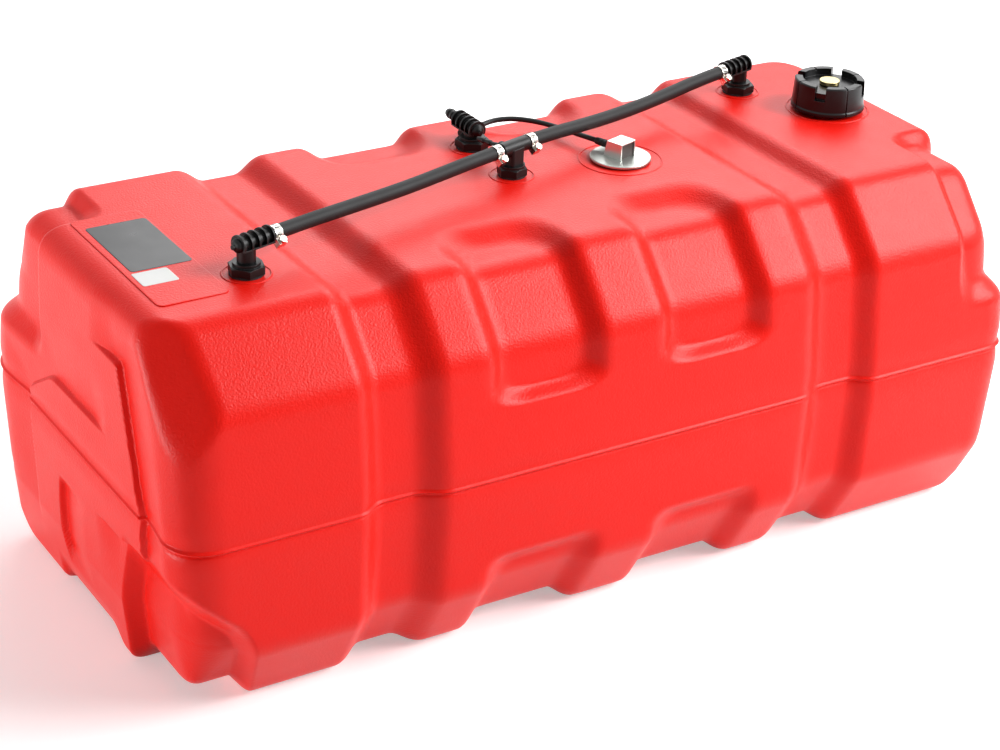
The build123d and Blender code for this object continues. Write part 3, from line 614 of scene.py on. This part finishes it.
dark_vinyl = material("dark_label_vinyl", "#141418", 0.3, Specular_IOR_Level=0.3)
white_vinyl = material("white_label_vinyl", "#D0D0CE", 0.32, Specular_IOR_Level=0.3)
for vinyl in (dark_vinyl, white_vinyl):
    grain(vinyl, 11.11, 0.04, stretch=(1, 0.3, 1), gloss_swing=0.06)
label_heights = (label_foot, label_top, label_edge)
plate("dark_label", dark_label_box, dark_label_corner, *label_heights, dark_vinyl, "fitting_black")
plate("white_label", white_label_box, white_label_corner, *label_heights, white_vinyl, "inner_plastic")


# ---------------------------------------------------------------- filler cap and its liner
# Screw cap of black polypropylene, moulded with four lobes for grip. The mould's light texture leaves
# it satin, and its edges are painted lighter: wear from hands and a painted highlight. The liner is
# nitrile rubber, which is matt. Their true texture of 0.2 to 0.3 mm is too fine to show, so it is drawn
# at 0.8 and 1 mm. Edges begin to be painted lighter where the rounded normal's cosine with the flat one
# falls below the first value here.
edge_begins, edge_full = 0.97, 0.8


def coat(finish, *names):
    """Gives carried-over CAD nodes their finish, in every material slot."""
    for name in names:
        for place in nodes[name].material_slots:
            place.material = finish


def worn_and_highlit_edges(made, radius, lit):
    """Rounds the edges in the shading by that radius, in millimetres, under the grain, and paints them
    in the lit colour where the rounded and the flat normal differ: a painted highlight along the edges,
    and wear where handling polishes them."""
    tree = made.node_tree
    shader = tree.nodes["Principled BSDF"]
    rounded = add_node(tree, "Bevel", {"Radius": radius * mm}, samples=6).outputs["Normal"]
    flat = add_node(tree, "NewGeometry", {}).outputs["Normal"]
    likeness = add_node(tree, "VectorMath", {0: rounded, 1: flat}, operation="DOT_PRODUCT")
    span = {"From Min": edge_begins, "From Max": edge_full}
    edge = add_node(tree, "MapRange", {"Value": likeness.outputs["Value"], **span})
    colours = {"Color1": shader.inputs["Base Color"].default_value, "Color2": linear(lit)}
    mixed = add_node(tree, "MixRGB", {"Fac": edge.outputs["Result"], **colours})
    fill(tree.nodes["Bump"], {"Normal": rounded})
    fill(shader, {"Base Color": mixed.outputs["Color"]})


cap_plastic = material("black_polypropylene", "#070708", 0.3, Specular_IOR_Level=0.3)
grain(cap_plastic, 0.769, 0.04, gloss_swing=0.04)
worn_and_highlit_edges(cap_plastic, 0.7, "#38383A")
coat(cap_plastic, "filler_cap")
liner_rubber = material("nitrile_liner", "#222224", 0.7)
grain(liner_rubber, 1.0, 0.1, gloss_swing=0.05)
coat(liner_rubber, "cap_liner")


# ---------------------------------------------------------------- vent screw and its washer
# Brass thumb screw in the middle of the cap, turned on a lathe, which leaves fine rings on its head,
# and dulled by air to a pale straw colour. A small washer of matt moulded rubber seals it. The rings'
# true pitch of 0.15 mm is too fine to show, so it is drawn at 0.6 mm.
wave_rings = 20 / (2 * math.pi)


def lathe_rings(made, x, y, pitch, height):
    """Concentric turning marks about the upright axis through x, y, of that pitch and height in
    millimetres, under the grain. A wave texture draws wave_rings of them per unit of its scale. It
    comes after the edges' painted highlight and wear, from whose rounded normal it starts."""
    tree = made.node_tree
    place = add_node(tree, "TexCoord", {}).outputs["Object"]
    centred = add_node(tree, "Mapping", {"Vector": place, "Location": (-x * mm, -y * mm, 0)})
    rings = {"Vector": centred.outputs["Vector"], "Scale": 1 / (wave_rings * pitch * mm), "Distortion": 1.5}
    wave = add_node(tree, "TexWave", rings, wave_type="RINGS", rings_direction="Z")
    relief = {"Height": wave.outputs["Fac"], "Distance": height * mm}
    marks = add_node(tree, "Bump", {"Normal": tree.nodes["Bevel"].outputs["Normal"], **relief})
    fill(tree.nodes["Bump"], {"Normal": marks.outputs["Normal"]})


vent_brass = material("turned_brass", "#D6C48A", 0.3, Metallic=1.0)
grain(vent_brass, 2.0, 0.04, gloss_swing=0.06)
# Its edges are painted paler: a painted highlight, and wear.
worn_and_highlit_edges(vent_brass, 0.5, "#EFE2B4")
lathe_rings(vent_brass, filler_x, filler_y, 0.6, 0.03)
coat(vent_brass, "vent_screw")
washer_rubber = material("washer_rubber", "#1C1C1D", 0.65)
grain(washer_rubber, 0.833, 0.08, gloss_swing=0.05)
coat(washer_rubber, "vent_screw_washer")


# ---------------------------------------------------------------- hexagon adapters, elbows, tee and pickup
# Injection-moulded fittings of black glass-filled nylon: the glass, in fibres 0.3 mm long, gives a dry
# speckle, which is drawn twice as coarse to show, and the edges of the thin fins and corners are painted
# lighter grey, a painted highlight where they catch the light, and wear. Each adapter is screwed into
# the deck on a gasket that is cut from rubber sheet, and so is matt and slightly grey.
glass_nylon = material("glass_filled_nylon", "#060606", 0.38, Specular_IOR_Level=0.25)
grain(glass_nylon, 0.667, 0.06, detail=3.0, gloss_swing=0.06)
worn_and_highlit_edges(glass_nylon, 0.5, "#48484A")
coat(glass_nylon, "left_vent_adapter", "right_vent_adapter", "tee_adapter", "pickup_adapter")
coat(glass_nylon, "left_vent_elbow", "right_vent_elbow", "vent_tee", "pickup_elbow")
gasket_rubber = material("gasket_rubber", "#1A1A1B", 0.72)
grain(gasket_rubber, 1.111, 0.1, gloss_swing=0.05)
coat(gasket_rubber, "left_vent_gasket", "right_vent_gasket", "tee_gasket", "pickup_gasket")


# ---------------------------------------------------------------- dip tube and strainer
# Extruded tube of natural acetal pushed up into the pickup adapter, with a moulded strainer just above
# the floor. Unfilled acetal is milky and slightly waxy, since light goes a little way into it.
natural_acetal = material("natural_acetal", "#E2DDCF", 0.42, Subsurface_Weight=0.1)
grain(natural_acetal, 2.5, 0.05, gloss_swing=0.05)
coat(natural_acetal, "dip_tube", "pickup_strainer")


# ---------------------------------------------------------------- vent hoses
# Two lengths of black rubber fuel hose, pushed over the barbs of the elbows and of the tee and held
# there by worm-drive clamps. The extruded rubber has a matt skin with a fine mottle, 0.3 mm across in
# truth, which is drawn at 1.1 mm to show.
hose_outside = 13.4
vent_axis_height = deck_height + 29.0
vent_reach = math.hypot(vent_x, vent_y)
tee_reach = math.hypot(tee_x, tee_y)
elbow_front = 26.0
tee_half_run = 17.0
line_x = vent_x / vent_reach
line_y = vent_y / vent_reach


def route_curve(name, points, diameter, finish):
    """Cord on a NURBS spline with the route's points, in millimetres, as its control points."""
    data = bpy.data.curves.new(name, "CURVE")
    data.dimensions = "3D"
    data.bevel_depth = diameter / 2 * mm
    data.bevel_resolution = 8
    data.use_fill_caps = True
    data.resolution_u = 12
    spline = data.splines.new("NURBS")
    spline.points.add(len(points) - 1)
    for control, point in zip(spline.points, points):
        control.co = (point[0] * mm, point[1] * mm, point[2] * mm, 1)
    spline.order_u = 3
    spline.use_endpoint_u = True
    data.materials.append(finish)
    cord = bpy.data.objects.new(name, data)
    bpy.context.scene.collection.objects.link(cord)
    return cord


def spline_length(cord):
    """Length in metres of the spline itself, read from the curve without its thickness."""
    bare = cord.data.copy()
    bare.bevel_depth = 0
    probe = bpy.data.objects.new("probe", bare)
    line = bpy.data.meshes.new_from_object(probe)
    points = np.empty(len(line.vertices) * 3)
    line.vertices.foreach_get("co", points)
    steps = np.diff(points.reshape(-1, 3), axis=0)
    bpy.data.objects.remove(probe)
    bpy.data.meshes.remove(line)
    return float(np.linalg.norm(steps, axis=1).sum())


def on_line(distance, drop=0.0, aside=0.0):
    """Point on the line through both vent elbows, at a distance from the Z axis."""
    return (
        line_x * distance - line_y * aside,
        line_y * distance + line_x * aside,
        vent_axis_height - drop,
    )


hose_rubber = material("black_hose_rubber", "#0E0E0F", 0.6, Specular_IOR_Level=0.3)
grain(hose_rubber, 1.111, 0.12, gloss_swing=0.05)

# The routes' inner points are given where the hoses sag; they run straight out of the barbs.
left_route = [
    on_line(-vent_reach + elbow_front),
    on_line(-vent_reach + elbow_front + 45),
    on_line(-215, 1.6, 0.6),
    on_line(-150, 2.2, -0.4),
    on_line(-90, 1.2, 0.3),
    on_line(-tee_reach - tee_half_run - 34),
    on_line(-tee_reach - tee_half_run),
]
right_route = [
    on_line(-tee_reach + tee_half_run),
    on_line(-tee_reach + tee_half_run + 32),
    on_line(95, 3.2, -0.5),
    on_line(150, 4.8, -1.0),
    on_line(210, 4.4, 0.2),
    on_line(vent_reach - elbow_front - 42),
    on_line(vent_reach - elbow_front),
]
for side, route in (("left", left_route), ("right", right_route)):
    hose = route_curve(f"{side}_vent_hose_rubber", route, hose_outside, hose_rubber)
    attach(hose, "tank")
    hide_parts(f"{side}_vent_hose")
    spline_length(hose)


# ---------------------------------------------------------------- hose clamps
# Four worm-drive clamps of bright rolled steel strip, one over each barb. Rolling leaves fine lines
# round the band, drawn at a third of a millimetre to show, and the hose's rubber shows dark in the
# slots that the worm screw bites into. A slot's width, slant and pitch are angles round the hose.
band_radius = 7.55
clamp_offset = 6.5
clamp_turn = math.radians(130.0)
screw_gap = 0.8
slot_half_length = 2.5
slot_depth = 0.3
slot_cover = 0.05
slot_half_width = 0.075
slot_slant = 0.06
slot_pitch = 0.31

clamp_steel = material("rolled_steel_strip", "#DEDAD3", 0.24, Metallic=1.0)
line_turn = math.atan2(vent_y, vent_x)
grain(clamp_steel, 2.0, 0.03, stretch=(6, 0.3, 0.3), turn=line_turn, gloss_swing=0.06)
# The band's edges are painted brighter: a painted highlight, and wear.
worn_and_highlit_edges(clamp_steel, 0.3, "#F4F2EE")

clamp_places = [
    ("left_elbow", -vent_reach + elbow_front + clamp_offset),
    ("left_tee", -tee_reach - tee_half_run - clamp_offset),
    ("right_tee", -tee_reach + tee_half_run + clamp_offset),
    ("right_elbow", vent_reach - elbow_front - clamp_offset),
]
slot_turns = np.arange(clamp_turn + screw_gap, clamp_turn + 2 * np.pi - screw_gap, slot_pitch)
corner_along = np.array([-1, 1, 1, -1, -1, 1, 1, -1])
corner_aside = np.array([-1, -1, 1, 1, -1, -1, 1, 1])
corner_radius = band_radius + np.array(4 * [-slot_depth] + 4 * [slot_cover])
block_faces = np.array([(0, 3, 2, 1), (4, 5, 6, 7), (0, 1, 5, 4), (1, 2, 6, 5), (2, 3, 7, 6), (3, 0, 4, 7)])
coat(clamp_steel, "clamp_screws")
for name, distance in clamp_places:
    coat(clamp_steel, f"{name}_clamp")
    turn = slot_turns[:, None] - corner_aside * slot_half_width + slot_slant * corner_along
    along = np.broadcast_to(distance + corner_along * slot_half_length, turn.shape)
    aside = -np.sin(turn) * corner_radius
    points = np.stack(
        [
            line_x * along - line_y * aside,
            line_y * along + line_x * aside,
            vent_axis_height + np.cos(turn) * corner_radius,
        ],
        axis=-1,
    )
    faces = block_faces + 8 * np.arange(len(slot_turns))[:, None, None]
    faces = faces.reshape(-1, 4).tolist()
    add_piece(f"{name}_clamp_slots", points.reshape(-1, 3), faces, hose_rubber, "tank")


# ---------------------------------------------------------------- level sender
# Zinc-plated steel: a round flange turned on a lathe, on a rubber gasket, and a hood folded from
# sheet over a terminal block of dull, moulded phenolic. The plating is satin; its edges, and the
# terminal block's, are painted brighter, a painted highlight with wear. The flange's turning marks,
# 0.2 mm apart in truth, are drawn 0.9 mm apart to show.
sender_metal = material("zinc_plated_steel", "#B4B7B2", 0.34, Metallic=1.0)
grain(sender_metal, 2.857, 0.06, detail=4.0, gloss_swing=0.08)
worn_and_highlit_edges(sender_metal, 0.6, "#EDEFEE")
lathe_rings(sender_metal, sender_x, sender_y, 0.9, 0.02)
coat(sender_metal, "sender_flange")
hood_metal = material("folded_zinc_sheet", "#D2D5D2", 0.28, Metallic=1.0)
grain(hood_metal, 3.333, 0.05, stretch=(1, 1, 4), detail=3.0, gloss_swing=0.07)
worn_and_highlit_edges(hood_metal, 0.6, "#F4F5F4")
coat(hood_metal, "sender_hood")
coat(gasket_rubber, "sender_gasket")
phenolic = material("brown_black_phenolic", "#2A201E", 0.5)
grain(phenolic, 1.25, 0.1, gloss_swing=0.05)
worn_and_highlit_edges(phenolic, 0.4, "#4E403C")
coat(phenolic, "sender_terminal_block")


# ---------------------------------------------------------------- sender's inside parts
# Under the flange: a stainless stem, the gauge body of natural acetal, and an arm of stainless wire
# with its clip, bright from being drawn. The arm carries a float of closed-cell nitrile foam, which is
# dull and pitted with cells of about 1 mm.
stainless_wire = material("drawn_stainless_wire", "#CFCFCC", 0.22, Metallic=1.0)
grain(stainless_wire, 1.111, 0.03, gloss_swing=0.05)
float_foam = material("nitrile_foam", "#3A3836", 0.85)
grain(float_foam, 0.909, 0.4, detail=4.0, gloss_swing=0.05)
coat(natural_acetal, "gauge_body")
coat(stainless_wire, "sender_stem", "float_arm", "float_arm_clip")
coat(float_foam, "sender_float")


# ---------------------------------------------------------------- sender lead, its boot and its plug
# Black lead from the level sender's boot round to the plug behind the fuel pickup, level as it leaves
# the boot, then in one loose curve just over the deck. Its extruded PVC sheath is smooth and satin.
lead_diameter = 5.2
hood_turn = math.radians(18.0)
hood_ahead = np.array([-math.sin(hood_turn), math.cos(hood_turn)])
hood_aside = np.array([math.cos(hood_turn), math.sin(hood_turn)])
boot_start, boot_end = 8.0, 31.0
boot_level = deck_height + 11.1
boot_steps = 48
lead_straight = 17.0


def on_boot_axis(distance):
    """Point on the boot's axis at a distance from the sender's upright axis."""
    return (sender_x + hood_ahead[0] * distance, sender_y + hood_ahead[1] * distance, boot_level)


lead_start = on_boot_axis(boot_end)
lead_route = [
    lead_start,
    on_boot_axis(boot_end + lead_straight),
    (93.0, 52.0, 384.8),
    (88.0, 73.0, 383.6),
    (77.0, 93.0, 383.8),
    (60.0, 107.0, 384.2),
    (42.0, 112.5, 383.2),
    (26.0, 110.5, 381.0),
    (12.0, 106.5, 380.6),
]
lead_sheath = material("black_pvc_sheath", "#0B0B0C", 0.45, Specular_IOR_Level=0.3)
grain(lead_sheath, 1.429, 0.05, gloss_swing=0.04)
lead = route_curve("sender_lead_sheath", lead_route, lead_diameter, lead_sheath)
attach(lead, "tank")
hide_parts("sender_lead")
spline_length(lead)

# The boot is a tapered strain relief of satin moulded rubber: a collar that fills the hood's hole,
# then three shorter steps that shrink to the lead. Its profile gives radius and distance.
boot_rubber = material("boot_rubber", "#080808", 0.5, Specular_IOR_Level=0.3)
grain(boot_rubber, 1.111, 0.1, gloss_swing=0.05)
boot_profile = [(3.9, boot_start), (4.15, 8.3), (4.2, 12.6), (3.9, 13.0)]
boot_profile += [(3.5, 13.2), (3.5, 14.2), (4.0, 14.6), (3.9, 18.0)]
boot_profile += [(3.5, 18.3), (3.5, 19.3), (3.95, 19.7), (3.8, 23.0)]
boot_profile += [(3.4, 23.3), (3.4, 24.3), (3.8, 24.7), (3.5, 30.4), (3.1, boot_end)]
aside, below, ahead = np.moveaxis(turned(boot_profile, boot_steps), -1, 0)
boot_rings = np.stack(
    [
        sender_x + hood_ahead[0] * ahead + hood_aside[0] * aside,
        sender_y + hood_ahead[1] * ahead + hood_aside[1] * aside,
        boot_level - below,
    ],
    axis=-1,
)
boot_points, boot_faces = closed_grid(boot_rings, on_boot_axis(boot_start), lead_start)
boot = add_piece("sender_boot", boot_points, boot_faces, boot_rubber, "tank")
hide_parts("sender_lead_boot")
coat(boot_rubber, "sender_lead_plug")


# ---------------------------------------------------------------- floor, light and backdrop
# Plain pale sweep with a soft box over the deck and one at each side. The floor keeps the shadow,
# and the room's own light fades out towards the front left, which keeps the recesses' walls dark.
# Sizes and places are in metres, and powers in watts.
floor_half = 12.0
floor_glow = 0.4
dark_side = (-0.64, -0.77, 0.0)
ambient_strength = 0.72
ambient_edge = 0.4
lamp_target = Vector((0, 0, 0.19))

floor_finish = material("studio_floor", "#F0F0F0", 0.9)
corners = [(-floor_half, -floor_half, 0), (floor_half, -floor_half, 0)]
corners += [(floor_half, floor_half, 0), (-floor_half, floor_half, 0)]
floor_data = bpy.data.meshes.new("floor")
floor_data.from_pydata(corners, [], [(0, 1, 2, 3)])
floor_data.materials.append(floor_finish)
floor = bpy.data.objects.new("floor", floor_data)
bpy.context.scene.collection.objects.link(floor)


def seen_directly(tree):
    """Socket that is 1 for camera, glossy and transmission rays, which all show the white backdrop."""
    path = add_node(tree, "LightPath", {})
    total = path.outputs["Is Camera Ray"]
    for other in ("Is Glossy Ray", "Is Transmission Ray"):
        total = add_node(tree, "Math", {0: total, 1: path.outputs[other]}, use_clamp=True).outputs["Value"]
    return total


tree = floor_finish.node_tree
strength = add_node(tree, "Math", {0: seen_directly(tree), 1: floor_glow}, operation="MULTIPLY")
glow = add_node(tree, "Emission", {"Strength": strength.outputs["Value"]})
shaders = {0: tree.nodes["Principled BSDF"].outputs["BSDF"], 1: glow.outputs["Emission"]}
lit_floor = add_node(tree, "AddShader", shaders)
fill(tree.nodes["Material Output"], {"Surface": lit_floor.outputs["Shader"]})

world = bpy.data.worlds.new("studio")
bpy.context.scene.world = world
world.use_nodes = True
tree = world.node_tree
heading = add_node(tree, "TexCoord", {}).outputs["Generated"]
towards = add_node(tree, "VectorMath", {0: heading, 1: dark_side}, operation="DOT_PRODUCT")
span = {"From Min": -ambient_edge, "From Max": ambient_edge, "To Min": ambient_strength, "To Max": 0.0}
level_inputs = {"Value": towards.outputs["Value"], **span}
level = add_node(tree, "MapRange", level_inputs, interpolation_type="SMOOTHSTEP")
ambient = tree.nodes["Background"]
fill(ambient, {"Color": (1, 1, 1, 1), "Strength": level.outputs["Result"]})
white = add_node(tree, "Background", {"Color": (1, 1, 1, 1)})
shaders = {1: ambient.outputs["Background"], 2: white.outputs["Background"]}
backdrop = add_node(tree, "MixShader", {0: seen_directly(tree), **shaders})
fill(tree.nodes["World Output"], {"Surface": backdrop.outputs["Shader"]})


def soft_box(name, place, width, height, power):
    """Rectangular area lamp at a place, facing the middle of the tank."""
    data = bpy.data.lights.new(name, "AREA")
    data.shape = "RECTANGLE"
    data.size = width
    data.size_y = height
    data.energy = power
    lamp = bpy.data.objects.new(name, data)
    bpy.context.scene.collection.objects.link(lamp)
    aim = lamp_target - Vector(place)
    lamp.matrix_world = Matrix.Translation(place) @ aim.to_track_quat("-Z", "Y").to_matrix().to_4x4()


soft_box("top_box", (1.3, 1.5, 1.9), 2.4, 1.8, 42)
soft_box("left_box", (-2.6, 0.45, 0.19), 1.8, 0.34, 40)
soft_box("right_box", (2.1, -1.6, 2.0), 1.9, 1.7, 148)

bpy.context.scene.view_settings.view_transform = "Standard"
